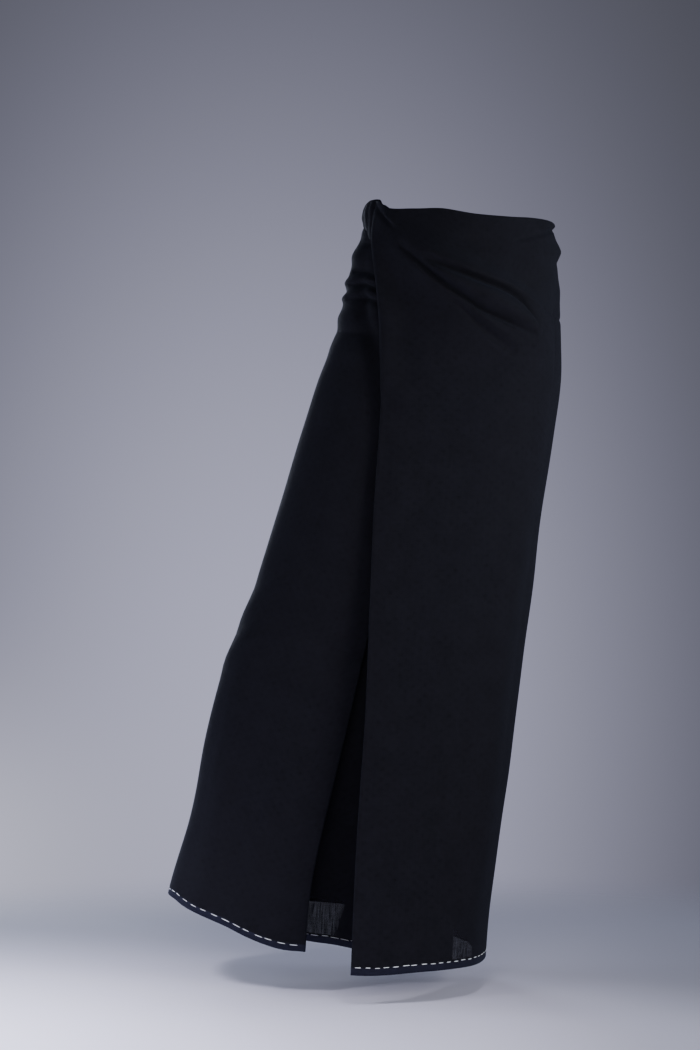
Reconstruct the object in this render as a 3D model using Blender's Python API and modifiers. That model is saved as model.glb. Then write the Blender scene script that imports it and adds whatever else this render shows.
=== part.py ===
"""A longyi: a sewn tube of cotton, worn hollow from the waist to the ankles.

Both sides of the tube are pulled to the front and folded flat, the wearer's left side outermost.
From outside in, the front is: the left fold, its return, the right fold, its return, and the
cloth against the legs. +Z is up, -Y is the front and +X is the wearer's left. The origin is the
middle of the waist, where the wearer holds the cloth. Angles go round the body: 0 is the wearer's
left side, 90 the back, 180 the right side and 270 the front.
"""

import bpy
from math import acos, cos, degrees, exp, hypot, pi, radians, sin

# Cloth
WALL = 0.0011          # thickness of one layer
PITCH = 0.0024         # from one layer to the next, middle to middle
SEAM_GAP = 0.0006      # between two stretches of the same cloth, side to side
TURN_GAP = 0.0014      # from a folded edge's half round to the cloth that it leads on to
HEM_TURN = 0.012       # height of the turned-up hem
HEM_INSET = 0.0016     # the turned-up layer, from the panel's middle
TURN_STEPS = 4         # facets round a folded edge
CLOTH_DROP = 1.01      # from the waist edge to the hem
FINE_PART = 0.20       # the share of the drop that has close rows
FLAP_COLUMNS, WRAP_COLUMNS, BACK_COLUMNS, UNDER_COLUMNS = 22, 13, 22, 12
FLAP_RETURN_COLUMNS, WRAP_RETURN_COLUMNS = 12, 6

# Sections of the worn tube. left and right are the sides, the others are depths from the middle:
# flap for the left fold, wrap for the right fold, under for the cloth against the legs.
# square is the exponent of the section: 2 is an ellipse, more is squarer.
SECTION_COLUMNS = ("z", "left", "right", "flap", "wrap", "under", "back", "square")
SECTIONS = (
    (0.030, -0.1320, 0.1225, 0.092, 0.092, 0.092, 0.092, 2.10),
    (-0.020, -0.1345, 0.1250, 0.096, 0.096, 0.096, 0.098, 2.10),
    (-0.069, -0.1490, 0.1300, 0.101, 0.101, 0.101, 0.110, 2.15),
    (-0.120, -0.1615, 0.1322, 0.106, 0.106, 0.105, 0.121, 2.20),
    (-0.177, -0.1760, 0.1345, 0.110, 0.110, 0.108, 0.127, 2.20),
    (-0.232, -0.1985, 0.1342, 0.112, 0.111, 0.108, 0.128, 2.25),
    (-0.300, -0.2190, 0.1252, 0.113, 0.111, 0.106, 0.126, 2.30),
    (-0.398, -0.2500, 0.1095, 0.115, 0.110, 0.102, 0.122, 2.35),
    (-0.508, -0.2835, 0.0955, 0.120, 0.108, 0.096, 0.118, 2.40),
    (-0.618, -0.3262, 0.0805, 0.128, 0.106, 0.087, 0.116, 2.45),
    (-0.729, -0.3540, 0.0662, 0.138, 0.104, 0.075, 0.117, 2.50),
    (-0.839, -0.3762, 0.0520, 0.151, 0.103, 0.062, 0.121, 2.55),
    (-0.945, -0.4068, 0.0365, 0.163, 0.102, 0.052, 0.126, 2.60),
    (-1.030, -0.4140, 0.0300, 0.172, 0.101, 0.044, 0.131, 2.60),
)

# Where the folded edges run, as X at each height
EDGE_COLUMNS = ("z", "left_fold", "right_fold", "left_inner", "right_inner")
EDGES = (
    (0.030, -0.1190, -0.030, 0.098, -0.086),
    (-0.120, -0.1130, -0.043, 0.094, -0.100),
    (-0.250, -0.1115, -0.062, 0.080, -0.124),
    (-0.400, -0.1211, -0.092, 0.060, -0.156),
    (-0.565, -0.1283, -0.1298, 0.038, -0.196),
    (-0.690, -0.1335, -0.1580, 0.020, -0.226),
    (-0.815, -0.1425, -0.1878, 0.003, -0.258),
    (-0.915, -0.1480, -0.2090, -0.010, -0.282),
    (-1.030, -0.1530, -0.2190, -0.0235, -0.302),
)

# Heights of the waist edge and of the hem, by angle
WAIST_COLUMNS = ("angle", "z")
WAIST = (
    (0, -0.0193), (60, -0.010), (120, -0.002), (180, 0.004), (210, 0.004), (240, -0.004),
    (259, -0.0083), (276, -0.0158), (297, -0.0181), (315, -0.0170), (336, -0.0174), (360, -0.0193),
)
HEM_COLUMNS = ("angle", "z")
OUTER_HEM = (
    (0, -1.0213), (42, -1.0147), (93, -0.9720), (140, -0.9550), (180, -0.9445), (200, -0.9500),
    (222, -0.9612), (241, -0.9770), (253, -0.9905), (264, -1.0017), (275, -1.0203), (300, -1.0195),
    (330, -1.0205), (360, -1.0213),
)
UNDER_HEM = ((235, -0.9820), (243, -0.9860), (268, -1.0010), (290, -1.0060), (318, -1.0100))
LEFT_RETURN_HEM = ((262, -1.0203), (275, -1.0203), (290, -1.0170), (318, -1.0100))
RIGHT_RETURN_HEM = ((235, -0.9830), (243, -0.9860), (264, -1.0017), (275, -1.0030))
INNER_WAIST_DROP = 0.004   # the layers underneath stop this far below the waist edge

# Folds and gathers: a ridge (or a trough, with a negative height) along a curve from one place to
# another on the cloth. bow is how far the middle of the curve sags, spread is its half width.
FOLD_COLUMNS = ("on", "angle_a", "z_a", "angle_b", "z_b", "bow", "height", "spread")
FOLDS = (
    # drag folds of the flap, from the tuck down to the wearer's left hip
    ("flap", 236, -0.050, 336, -0.150, 0.016, 0.0042, 0.052),
    ("flap", 236, -0.045, 308, -0.182, 0.012, -0.0050, 0.0085),
    ("flap", 256, -0.078, 320, -0.158, -0.006, -0.0042, 0.0085),
    ("flap", 238, -0.075, 300, -0.200, 0.012, 0.0022, 0.0110),
    ("flap", 268, -0.125, 292, -0.190, 0.008, -0.0018, 0.0080),
    ("flap", 216, -0.015, 233, -0.200, 0.000, 0.0030, 0.0130),
    # the bunch of cloth at the wearer's left side of the waist
    ("flap back", 335, -0.050, 395, -0.040, 0.000, 0.0048, 0.0110),
    ("flap back", 325, -0.030, 385, -0.020, 0.000, -0.0024, 0.0060),
    ("flap back", 330, -0.078, 400, -0.070, 0.000, -0.0022, 0.0080),
    # gathers at the wearer's right hip, under the tuck
    ("wrap back", 158, -0.030, 214, -0.036, 0.003, 0.0034, 0.0085),
    ("wrap back", 150, -0.060, 216, -0.062, 0.005, 0.0042, 0.0095),
    ("wrap back", 146, -0.092, 222, -0.084, 0.006, 0.0052, 0.0095),
    ("wrap back", 150, -0.116, 226, -0.108, 0.006, 0.0040, 0.0080),
    ("wrap back", 142, -0.150, 232, -0.132, 0.010, 0.0034, 0.0110),
    # slack across the back of the thighs, and hanging folds above the hem
    ("back", 40, -0.235, 140, -0.250, 0.030, -0.0050, 0.0300),
    ("back", 52, -0.480, 40, -1.060, 0.000, 0.0080, 0.0240),
    ("back", 98, -0.420, 88, -1.060, 0.000, 0.0095, 0.0280),
    ("back", 138, -0.520, 142, -1.020, 0.000, 0.0075, 0.0230),
    ("wrap", 212, -0.560, 226, -1.020, 0.000, 0.0050, 0.0240),
    ("flap", 325, -0.420, 330, -1.070, 0.000, 0.0040, 0.0260),
)

# The tucked corner of the flap, a strip laid over the waist edge
TUCK_FROM, TUCK_TO = 184.0, 203.5     # angles
TUCK_RISE = 0.009                     # above the waist edge
TUCK_OUTSIDE, TUCK_INSIDE = 0.034, 0.024
TUCK_STANDOFF = 0.0033
TUCK_PLEATS = 3
TUCK_PLEAT_DEPTH = 0.0016
TUCK_COLUMNS, TUCK_ROWS, TUCK_TURN_ROWS = 10, 6, 2

NAVY = (0.0075, 0.0085, 0.016, 1.0)


def smooth_value(rows, x):
    """A smooth curve through (x, y) rows, in either order of x."""
    if rows[0][0] > rows[-1][0]:
        rows = rows[::-1]
    x = min(max(x, rows[0][0]), rows[-1][0])
    i = max(k for k in range(len(rows) - 1) if k == 0 or rows[k][0] <= x)
    slopes = []
    for k in (i, i + 1):
        low, high = rows[max(k - 1, 0)], rows[min(k + 1, len(rows) - 1)]
        slopes.append((high[1] - low[1]) / (high[0] - low[0]))
    step = rows[i + 1][0] - rows[i][0]
    s = (x - rows[i][0]) / step
    return ((2 * s**3 - 3 * s**2 + 1) * rows[i][1] + (s**3 - 2 * s**2 + s) * step * slopes[0]
            + (3 * s**2 - 2 * s**3) * rows[i + 1][1] + (s**3 - s**2) * step * slopes[1])


def column(table, columns, name):
    key = columns.index(name)
    return [(row[0], row[key]) for row in table]


SECTION = {name: column(SECTIONS, SECTION_COLUMNS, name) for name in SECTION_COLUMNS[1:]}
EDGE = {name: column(EDGES, EDGE_COLUMNS, name) for name in EDGE_COLUMNS[1:]}


def smoothstep(x):
    x = min(max(x, 0.0), 1.0)
    return x * x * (3.0 - 2.0 * x)


def signed_power(value, power):
    return abs(value) ** power * (1 if value >= 0 else -1)


def ring_point(angle, z, depth, inset=0.0):
    """A point of the section at height z, drawn smaller by inset. depth names its front column."""
    left, right = smooth_value(SECTION["left"], z), smooth_value(SECTION["right"], z)
    name = "back" if sin(radians(angle)) > 0 else depth
    reach = smooth_value(SECTION[name], z)
    power = 2.0 / smooth_value(SECTION["square"], z)
    across = (right - left) / 2 - inset
    x = (left + right) / 2 + across * signed_power(cos(radians(angle)), power)
    y = (reach - inset) * signed_power(sin(radians(angle)), power)
    return x, y


def edge_angle(name, z):
    """The angle of a folded edge at height z."""
    left, right = smooth_value(SECTION["left"], z), smooth_value(SECTION["right"], z)
    share = (smooth_value(EDGE[name], z) - (left + right) / 2) / ((right - left) / 2)
    share = min(max(share, -1.0), 1.0)
    return 360.0 - degrees(acos(signed_power(share, smooth_value(SECTION["square"], z) / 2)))


def degrees_for(length, z):
    """How many degrees a length along the cloth is, at height z."""
    left, right = smooth_value(SECTION["left"], z), smooth_value(SECTION["right"], z)
    return degrees(length / ((right - left) / 2))


def relief(panel, angle, z):
    """How far the folds lift this panel."""
    total = 0.0
    for on, angle_a, z_a, angle_b, z_b, bow, height, spread in FOLDS:
        if panel not in on.split():
            continue
        radius = 0.14
        along = radians(angle_b - angle_a) * radius
        fall = z_b - z_a
        turn = angle - angle_a + 360.0 * round(((angle_a + angle_b) / 2 - angle) / 360.0)
        u, w = radians(turn) * radius, z - z_a
        length = hypot(along, fall)
        s = (u * along + w * fall) / length**2
        if not 0.0 < s < 1.0:
            continue
        side = (w * along - u * fall) / length + bow * sin(pi * s)
        total += height * sin(pi * s) ** 0.7 * exp(-((side / spread) ** 2))
    return total


def wrap_inset(angle, z):
    """The right fold starts outermost at the side and sinks under the left fold and its return."""
    over = edge_angle("left_fold", z)
    return 2 * PITCH * smoothstep((angle - 180.0) / (over - 180.0))


def flap_at(angle, z):
    """The left fold."""
    return ring_point(angle, z, "flap", -max(0.0, relief("flap", angle, z)))


def wrap_at(angle, z):
    """The right fold. Its gathers lie flat where the left fold covers them."""
    over = edge_angle("left_fold", z)
    bare = 1.0 - smoothstep((angle - over + 12.0) / 10.0)
    return ring_point(angle, z, "wrap", wrap_inset(angle, z) - bare * relief("wrap", angle, z))


def under_at(angle, z):
    """The cloth against the legs, two layers inside the right fold and one inside the flap's return."""
    past = smoothstep((angle - edge_angle("right_fold", z) - 3.0) / 15.0)
    inset = (1 - past) * (wrap_inset(angle, z) + 2 * PITCH) + past * 2 * PITCH
    return ring_point(angle, z, "under", inset)


def back_at(angle, z):
    return ring_point(angle, z, "back", -relief("back", angle, z))


def between(a, b, share):
    return a[0] + (b[0] - a[0]) * share, a[1] + (b[1] - a[1]) * share


def outward(surface, angle, z):
    """The direction out of the cloth, and the direction along it with rising angle."""
    step = 0.5
    a, b = surface(angle - step, z), surface(angle + step, z)
    length = hypot(b[0] - a[0], b[1] - a[1])
    along = ((b[0] - a[0]) / length, (b[1] - a[1]) / length)
    return (along[1], -along[0]), along


def moved(surface, angle, z, distance):
    """A point of a surface, moved straight out of it."""
    x, y = surface(angle, z)
    out, _ = outward(surface, angle, z)
    return x + out[0] * distance, y + out[1] * distance


def flap_return_at(angle, z):
    """Under the flap at its folded edge, and on the cloth against the legs at the inner fold."""
    edge = edge_angle("left_fold", z)
    start = max(edge, edge_angle("right_fold", z) + 6.0)
    share = smoothstep((angle - start) / (edge_angle("left_inner", z) - start))
    lifted = 1.0 - smoothstep((angle - edge) / 12.0)
    below = ring_point(angle, z, "flap", PITCH - lifted * max(0.0, relief("flap", angle, z)))
    return between(below, moved(under_at, angle, z, PITCH), share)


def wrap_return_at(angle, z):
    """Under the right fold at its folded edge, and on the cloth against the legs at the inner fold."""
    start, stop = edge_angle("right_fold", z), edge_angle("right_inner", z)
    share = smoothstep((start - angle) / (start - stop))
    return between(moved(wrap_at, angle, z, -PITCH), moved(under_at, angle, z, PITCH), share)


def folded_edge(surface, angle, z, direction, side):
    """The half round of a folded edge: from the surface to the next layer, out (1) or in (-1)."""
    x, y = surface(angle, z)
    out, along = outward(surface, angle, z)
    radius = PITCH / 2
    points = []
    for step in range(1, TURN_STEPS + 1):
        turn = pi * step / TURN_STEPS
        lift, reach = side * radius * (1 - cos(turn)), direction * radius * sin(turn)
        points.append((x + out[0] * lift + along[0] * reach, y + out[1] * lift + along[1] * reach))
    return points


def row_shares(fine_rows, coarse_rows):
    """Rows from the waist to the hem, close together where the gathers are."""
    rows = [FINE_PART * i / fine_rows for i in range(fine_rows)]
    stop = 1.0 - HEM_TURN / CLOTH_DROP
    rows += [FINE_PART + (stop - FINE_PART) * i / coarse_rows for i in range(coarse_rows + 1)]
    return rows + [1.0]


FINE_ROWS = row_shares(15, 14)
HIDDEN_ROWS = [share for i, share in enumerate(FINE_ROWS) if i % 2 == 0 or share > FINE_PART]


def heights(angle, hem, drop):
    return smooth_value(WAIST, angle % 360.001) - drop, smooth_value(hem, angle)


def panel_rows(surface, angles_at, columns, hem, rows, drop=0.0, start_turn=None, end_turn=None):
    """The grid of a panel: angles_at(z) gives its first and last angle at a height."""
    grid = []
    for share in rows:
        line = []
        for i in range(columns + 1):
            z = -0.5
            for _ in range(6):
                first, last = angles_at(z)
                angle = first + (last - first) * i / columns
                top, bottom = heights(angle, hem, drop)
                z = top + (bottom - top) * share
            x, y = surface(angle, z)
            line.append((x, y, z))
            if i == 0 and start_turn:
                turned = folded_edge(surface, angle, z, *start_turn)
                line = [(a, b, z) for a, b in reversed(turned)] + line
            if i == columns and end_turn:
                line += [(a, b, z) for a, b in folded_edge(surface, angle, z, *end_turn)]
        grid.append(line)
    return grid


def cloth(name, grid, collection):
    """A grid of points as a sheet with a wall. Its rows run down and its columns round the body."""
    width = len(grid[0])
    points = [point for line in grid for point in line]
    faces = []
    for j in range(len(grid) - 1):
        for i in range(width - 1):
            a = j * width + i
            faces.append((a, a + width, a + width + 1, a + 1))
    mesh = bpy.data.meshes.new(name)
    mesh.from_pydata(points, [], faces)
    mesh.shade_smooth()
    piece = bpy.data.objects.new(name, mesh)
    collection.objects.link(piece)
    wall = piece.modifiers.new("Wall", "SOLIDIFY")
    wall.thickness = WALL
    wall.offset = 0.0
    piece.data.materials.append(cotton(name))
    return piece


def cotton(name):
    material = bpy.data.materials.new(name + "_cotton")
    material.use_nodes = True
    shader = material.node_tree.nodes["Principled BSDF"]
    shader.inputs["Base Color"].default_value = NAVY
    shader.inputs["Roughness"].default_value = 0.8
    shader.inputs["Metallic"].default_value = 0.0
    return material


def hem_turn(surface, angles_at, columns, hem, bare_start=0, bare_end=0):
    """The cloth turned up inside a panel: the panel's own points, moved in. It stops some
    columns short of a folded edge."""
    grid = []
    for rise in (HEM_TURN, 0.0):
        line = []
        for i in range(bare_start, columns + 1 - bare_end):
            z = -1.0
            for _ in range(6):
                first, last = angles_at(z)
                angle = first + (last - first) * i / columns
                z = smooth_value(hem, angle) + rise
            line.append((*moved(surface, angle, z, -HEM_INSET), z))
        grid.append(line)
    return grid


def waist_tuck():
    """The flap's corner: up the outside, over the waist edge and down the inside, in soft pleats."""
    grid = []
    for j in range(-TUCK_ROWS, TUCK_ROWS + 1):
        line = []
        for i in range(TUCK_COLUMNS + 1):
            share = i / TUCK_COLUMNS
            angle = TUCK_FROM + (TUCK_TO - TUCK_FROM) * share
            top = smooth_value(WAIST, angle) + TUCK_RISE * sin(pi * (0.15 + 0.7 * share))
            pleat = TUCK_PLEAT_DEPTH * (0.5 - 0.5 * cos(2 * pi * TUCK_PLEATS * share))
            radius = TUCK_STANDOFF + pleat
            if abs(j) <= TUCK_TURN_ROWS:
                turn = pi / 2 * j / TUCK_TURN_ROWS
                out, z = -radius * sin(turn), top + radius * (cos(turn) - 1)
            else:
                reach = TUCK_OUTSIDE if j < 0 else TUCK_INSIDE
                drop = reach * (abs(j) - TUCK_TURN_ROWS) / (TUCK_ROWS - TUCK_TURN_ROWS)
                out, z = radius * (1 if j < 0 else -1), top - radius - drop
            line.append((*moved(wrap_at, angle, z, out), z))
        grid.append(line)
    return grid[::-1]


def build():
    for item in list(bpy.data.objects):
        bpy.data.objects.remove(item)
    collection = bpy.data.collections.new("longyi_sarong")
    bpy.context.scene.collection.children.link(collection)
    gap = SEAM_GAP / 2

    def edge(name):
        return lambda z: edge_angle(name, z)

    left_fold, right_fold = edge("left_fold"), edge("right_fold")
    left_inner, right_inner = edge("left_inner"), edge("right_inner")

    def flap_span(z):
        return left_fold(z), 360 - degrees_for(gap, z)

    def wrap_span(z):
        return 180 + degrees_for(gap, z), right_fold(z)

    def back_span(z):
        return degrees_for(gap, z), 180 - degrees_for(gap, z)

    def under_span(z):
        return right_inner(z), left_inner(z)

    def flap_return_span(z):
        return left_fold(z) + degrees_for(TURN_GAP, z), left_inner(z) - degrees_for(TURN_GAP, z)

    def wrap_return_span(z):
        return right_inner(z) + degrees_for(TURN_GAP, z), right_fold(z) - degrees_for(TURN_GAP, z)

    grids = {
        "left_fold_outer": panel_rows(flap_at, flap_span, FLAP_COLUMNS, OUTER_HEM, FINE_ROWS,
                                      start_turn=(-1, -1)),
        "right_fold_outer": panel_rows(wrap_at, wrap_span, WRAP_COLUMNS, OUTER_HEM, FINE_ROWS,
                                       end_turn=(1, -1)),
        "back_panel": panel_rows(back_at, back_span, BACK_COLUMNS, OUTER_HEM, FINE_ROWS),
        "front_under_panel": panel_rows(under_at, under_span, UNDER_COLUMNS, UNDER_HEM, HIDDEN_ROWS,
                                        INNER_WAIST_DROP, start_turn=(-1, 1), end_turn=(1, 1)),
        "left_fold_return": panel_rows(flap_return_at, flap_return_span, FLAP_RETURN_COLUMNS,
                                       LEFT_RETURN_HEM, HIDDEN_ROWS, INNER_WAIST_DROP),
        "right_fold_return": panel_rows(wrap_return_at, wrap_return_span, WRAP_RETURN_COLUMNS,
                                        RIGHT_RETURN_HEM, HIDDEN_ROWS, INNER_WAIST_DROP),
        "hem_turn_left_fold": hem_turn(flap_at, flap_span, FLAP_COLUMNS, OUTER_HEM, bare_start=2),
        "hem_turn_right_fold": hem_turn(wrap_at, wrap_span, WRAP_COLUMNS, OUTER_HEM, bare_end=1),
        "hem_turn_back": hem_turn(back_at, back_span, BACK_COLUMNS, OUTER_HEM),
        "hem_turn_under": hem_turn(under_at, under_span, UNDER_COLUMNS, UNDER_HEM, 1, 1),
        "waist_tuck": waist_tuck(),
    }
    for name, grid in grids.items():
        cloth(name, grid, collection)


build()
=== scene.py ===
# Longyi: a sewn tube of navy cotton, worn hollow, both sides folded to the front and tucked at the right
# hip. Angles go round the body from the wearer's left side (0) by the back (90), the right side (180) and
# the front (270), and on past 360 to follow the one cloth: flap, left side, back, right side, right fold.

import bpy
import numpy as np
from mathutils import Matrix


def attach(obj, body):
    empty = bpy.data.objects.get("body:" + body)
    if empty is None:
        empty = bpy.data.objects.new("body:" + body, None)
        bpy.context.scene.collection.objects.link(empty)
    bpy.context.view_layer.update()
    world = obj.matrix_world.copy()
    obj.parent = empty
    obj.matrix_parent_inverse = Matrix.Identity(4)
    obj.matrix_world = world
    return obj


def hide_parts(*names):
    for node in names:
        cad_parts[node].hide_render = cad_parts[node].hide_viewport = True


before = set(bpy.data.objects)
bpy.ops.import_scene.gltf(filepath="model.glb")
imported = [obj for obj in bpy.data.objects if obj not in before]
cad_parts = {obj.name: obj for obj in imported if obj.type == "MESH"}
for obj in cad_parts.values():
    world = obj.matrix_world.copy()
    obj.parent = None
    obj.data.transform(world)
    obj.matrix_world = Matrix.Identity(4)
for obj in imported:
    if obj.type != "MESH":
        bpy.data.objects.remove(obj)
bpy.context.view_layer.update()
print("frame loaded:", len(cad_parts), "nodes")

cloth = {
    "wall": 0.0011,
    "pitch": 0.0024,        # from one layer to the next
    "hemTurn": 0.012,       # height of the turned-up hem
    "hemInset": 0.0016,     # the turned-up layer, from the middle of its panel
    "hiddenDrop": 0.004,    # layers underneath stop this far below the waist edge
    "wrapDrop": 0.008,      # the same for the right fold, from inside the tuck on:
    "wrapDropFrom": 556.0, "wrapDropOver": 12.0,
    "turnSteps": 6,         # facets round a folded edge
    "passes": 8,            # rounds in which heights and angles settle on one another
    # single cloth near the hem lets light through, in the flap and against the legs, between two X and two
    # heights over the hem
    "thinFlap": (-0.0215, 0.0065, 0.01, 0.058), "thinUnder": (-0.32, -0.1725, 0.008, 0.066),
}
leftSide, backMiddle, rightSide = 360.0, 450.0, 540.0       # angles along the outer cloth

# sections of the worn tube at each height z: its sides, its depths to the flap, the right fold, the cloth
# against the legs and the back, and how square the section is (2 is an ellipse)
body = {
    "z": (0.03, -0.02, -0.069, -0.12, -0.177, -0.232, -0.3, -0.398, -0.508, -0.618, -0.729, -0.839, -0.945,
          -1.03),
    "left": (-0.132, -0.1345, -0.149, -0.1615, -0.176, -0.1985, -0.219, -0.25, -0.2835, -0.3262, -0.354,
             -0.3762, -0.4068, -0.414),
    "right": (0.1225, 0.125, 0.13, 0.1322, 0.1345, 0.1342, 0.1252, 0.1095, 0.0955, 0.0805, 0.0662, 0.052,
              0.0365, 0.03),
    "flap": (0.092, 0.096, 0.101, 0.106, 0.11, 0.112, 0.113, 0.115, 0.12, 0.128, 0.138, 0.151, 0.163, 0.172),
    "wrap": (0.092, 0.096, 0.101, 0.106, 0.11, 0.111, 0.111, 0.11, 0.108, 0.106, 0.104, 0.103, 0.102, 0.101),
    "under": (0.092, 0.096, 0.101, 0.105, 0.108, 0.108, 0.106, 0.102, 0.096, 0.087, 0.075, 0.062, 0.052,
              0.044),
    "back": (0.092, 0.098, 0.11, 0.121, 0.127, 0.128, 0.126, 0.122, 0.118, 0.116, 0.117, 0.121, 0.126,
             0.131),
    "square": (2.1, 2.1, 2.15, 2.2, 2.2, 2.25, 2.3, 2.35, 2.4, 2.45, 2.5, 2.55, 2.6, 2.6),
}

# where the folded edges run, as X at each height
edges = {
    "z": (0.03, -0.12, -0.25, -0.4, -0.565, -0.69, -0.815, -0.915, -1.03),
    "leftFold": (-0.119, -0.113, -0.1115, -0.1211, -0.1283, -0.1335, -0.1425, -0.148, -0.153),
    "rightFold": (-0.03, -0.043, -0.062, -0.092, -0.1298, -0.158, -0.1878, -0.209, -0.219),
    "leftInner": (0.098, 0.094, 0.08, 0.06, 0.038, 0.02, 0.003, -0.01, -0.0235),
    "rightInner": (-0.086, -0.1, -0.124, -0.156, -0.196, -0.226, -0.258, -0.282, -0.302),
}

# heights of the waist edge and of each hem, by angle
rims = {
    "waist": ((0, 60, 120, 180, 200, 210, 217, 225, 243, 259, 276, 297, 315, 336, 360),
              (-0.0193, -0.01, -0.005, -0.006, 0.002, 0.0078, 0.0056, -0.0048, -0.0074, -0.0083,
               -0.0158, -0.0181, -0.017, -0.0174, -0.0193)),
    "outerHem": ((0, 42, 93, 140, 180, 200, 210, 222, 232, 241, 253, 260, 268, 275, 300, 330, 360),
                 (-1.0213, -1.0147, -0.972, -0.952, -0.9385, -0.94, -0.9458, -0.9541, -0.964,
                  -0.974, -0.992, -1.0005, -1.0052, -1.0203, -1.0195, -1.0205, -1.0213)),
    "underHem": ((235, 243, 256, 266, 276, 290, 318),
                 (-0.982, -0.986, -0.9925, -0.9985, -1.01, -1.0175, -1.019)),
    "flapReturnHem": ((262, 275, 290, 318), (-1.0203, -1.0203, -1.0195, -1.019)),
    "wrapReturnHem": ((235, 243, 264, 275), (-0.983, -0.986, -1.0017, -1.003)),
}

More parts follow.
